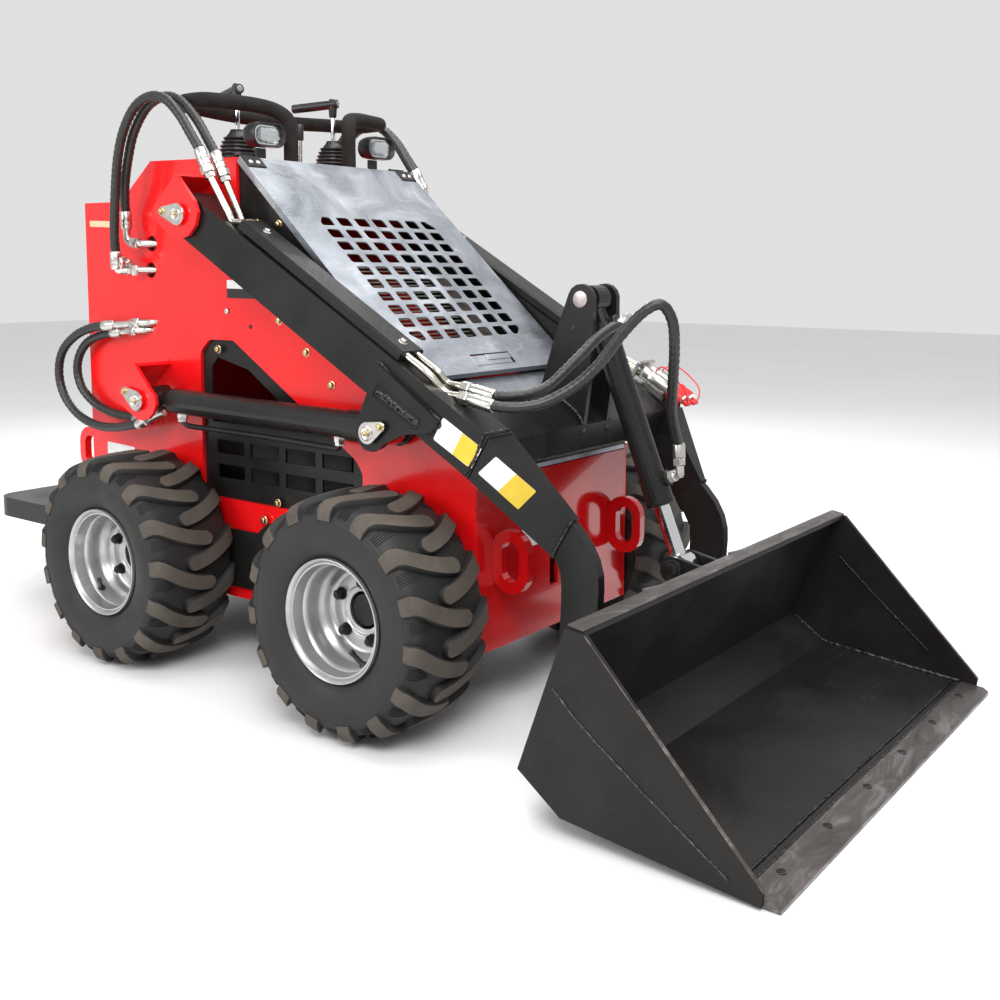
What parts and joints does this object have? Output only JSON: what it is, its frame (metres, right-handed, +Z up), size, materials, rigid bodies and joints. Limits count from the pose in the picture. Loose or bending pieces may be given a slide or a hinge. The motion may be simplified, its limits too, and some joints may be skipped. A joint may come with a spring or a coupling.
{
  "type": "skid steer loader",
  "caption": "Compact four-wheel skid steer loader with two lift arms, a wide bucket on a tilt cylinder, sloping perforated hood, twin joysticks and a stand-on rear platform.",
  "frame": {"origin": "on the ground, at the middle of the machine's length and width", "axes": "+Z up, the machine faces -Y (bucket end), +X is its left-hand side"},
  "size_m": [1.042, 2.335, 1.26],
  "materials": {
    "red_paint": "glossy red enamel",
    "black_paint": "satin black enamel, worn to metal in the bucket",
    "bare_steel": "bare sheet steel with light scratches",
    "rim_silver": "silver paint",
    "tyre": "dusty black rubber",
    "hose_rubber": "spiral-wrapped hydraulic hose",
    "foam_grip": "matte black foam",
    "black_plastic": "satin black",
    "chrome_rod": "polished",
    "zinc_plate": "zinc plated",
    "engine_iron": "dark cast metal"
  },
  "bodies": {
    "chassis": {"side_plate_R": "red_paint", "side_plate_L": "red_paint", "front_plate": "red_paint", "floor_plate": "black_paint", "rear_panel": "red_paint", "console_top": "red_paint", "front_deck": "bare_steel", "hood_frame": "black_paint", "grille_R": "black_paint", "grille_L": "black_paint", "engine_block": "engine_iron", "axle_carrier_R": "black_paint", "axle_carrier_L": "black_paint", "hand_rail_R": "foam_grip", "hand_rail_L": "foam_grip", "joystick_R": "black_plastic", "joystick_L": "black_plastic", "headlight_R": "black_plastic", "headlight_L": "black_plastic", "throttle_lever": "zinc_plate", "foot_platform": "black_paint", "upper_hose_1_R": "hose_rubber", "upper_hose_2_R": "hose_rubber", "lower_hose_1_R": "hose_rubber", "lower_hose_2_R": "hose_rubber", "upper_hose_1_L": "hose_rubber", "upper_hose_2_L": "hose_rubber", "lower_hose_1_L": "hose_rubber", "lower_hose_2_L": "hose_rubber"},
    "hood": {"hood": "bare_steel"},
    "lift_arms": {"lift_arm_R": "black_paint", "lift_arm_L": "black_paint", "arm_cross_member": "black_paint", "pipe_cover_R": "black_paint", "pipe_cover_L": "black_paint", "aux_couplers": "zinc_plate", "tilt_hose_1": "hose_rubber", "tilt_hose_2": "hose_rubber"},
    "lift_barrel_R": {"lift_barrel_R": "black_paint"},
    "lift_barrel_L": {"lift_barrel_L": "black_paint"},
    "lift_rod_R": {"lift_rod_R": "chrome_rod"},
    "lift_rod_L": {"lift_rod_L": "chrome_rod"},
    "tilt_barrel": {"tilt_barrel": "black_paint"},
    "tilt_rod": {"tilt_rod": "chrome_rod"},
    "bucket": {"quick_attach_plate": "black_paint", "bucket_shell": "black_paint", "cutting_edge": "bare_steel"},
    "wheel_FR": {"tyre_FR": "tyre", "rim_FR": "rim_silver"},
    "wheel_FL": {"tyre_FL": "tyre", "rim_FL": "rim_silver"},
    "wheel_RR": {"tyre_RR": "tyre", "rim_RR": "rim_silver"},
    "wheel_RL": {"tyre_RL": "tyre", "rim_RL": "rim_silver"}
  },
  "joints": [
    {"name": "arm_lift", "type": "hinge", "parent": "chassis", "child": "lift_arms", "pos_m": [0, 0.2525, 0.964], "axis": [-1, 0, 0], "range_deg": [0, 80], "deforming": ["upper_hose_1_R", "upper_hose_2_R", "upper_hose_1_L", "upper_hose_2_L"]},
    {"name": "bucket_tilt", "type": "hinge", "parent": "lift_arms", "child": "bucket", "pos_m": [0, -0.6645, 0.172], "axis": [1, 0, 0], "range_deg": [-15, 95]},
    {"name": "hood_hinge", "type": "hinge", "parent": "chassis", "child": "hood", "pos_m": [0, 0.194, 1.088], "axis": [-1, 0, 0], "range_deg": [0, 65]},
    {"name": "tilt_barrel_swing", "type": "hinge", "parent": "lift_arms", "child": "tilt_barrel", "pos_m": [0, -0.5315, 0.8], "axis": [1, 0, 0], "range_deg": [-1, 2], "deforming": ["tilt_hose_1", "tilt_hose_2"]},
    {"name": "tilt_rod_slide", "type": "slide", "parent": "tilt_barrel", "child": "tilt_rod", "axis": [0, -0.3772, -0.9261], "range_m": [-0.036, 0.22]},
    {"name": "lift_barrel_swing_R", "type": "hinge", "parent": "chassis", "child": "lift_barrel_R", "pos_m": [-0.31, 0.4105, 0.566], "axis": [-1, 0, 0], "range_deg": [0, 54], "deforming": ["lower_hose_1_R", "lower_hose_2_R"]},
    {"name": "lift_rod_slide_R", "type": "slide", "parent": "lift_barrel_R", "child": "lift_rod_R", "axis": [0, -0.9999, -0.0146], "range_m": [0, 0.386]},
    {"name": "lift_barrel_swing_L", "type": "hinge", "parent": "chassis", "child": "lift_barrel_L", "pos_m": [0.31, 0.4105, 0.566], "axis": [-1, 0, 0], "range_deg": [0, 54], "deforming": ["lower_hose_1_L", "lower_hose_2_L"]},
    {"name": "lift_rod_slide_L", "type": "slide", "parent": "lift_barrel_L", "child": "lift_rod_L", "axis": [0, -0.9999, -0.0146], "range_m": [0, 0.386]},
    {"name": "wheel_FR_spin", "type": "hinge", "parent": "chassis", "child": "wheel_FR", "pos_m": [-0.383, -0.2845, 0.2285], "axis": [1, 0, 0], "continuous": true},
    {"name": "wheel_FL_spin", "type": "hinge", "parent": "chassis", "child": "wheel_FL", "pos_m": [0.383, -0.2845, 0.2285], "axis": [1, 0, 0], "continuous": true},
    {"name": "wheel_RR_spin", "type": "hinge", "parent": "chassis", "child": "wheel_RR", "pos_m": [-0.383, 0.4045, 0.2285], "axis": [1, 0, 0], "continuous": true},
    {"name": "wheel_RL_spin", "type": "hinge", "parent": "chassis", "child": "wheel_RL", "pos_m": [0.383, 0.4045, 0.2285], "axis": [1, 0, 0], "continuous": true}
  ],
  "couplings": [
    {"joint": "tilt_barrel_swing", "follows": "bucket_tilt", "ratio": 0.0111},
    {"joint": "tilt_rod_slide", "follows": "bucket_tilt", "m_per_rad": 0.1317},
    {"joint": "lift_barrel_swing_R", "follows": "arm_lift", "ratio": 0.6662},
    {"joint": "lift_rod_slide_R", "follows": "arm_lift", "m_per_rad": 0.2739},
    {"joint": "lift_barrel_swing_L", "follows": "arm_lift", "ratio": 0.6662},
    {"joint": "lift_rod_slide_L", "follows": "arm_lift", "m_per_rad": 0.2739}
  ]
}
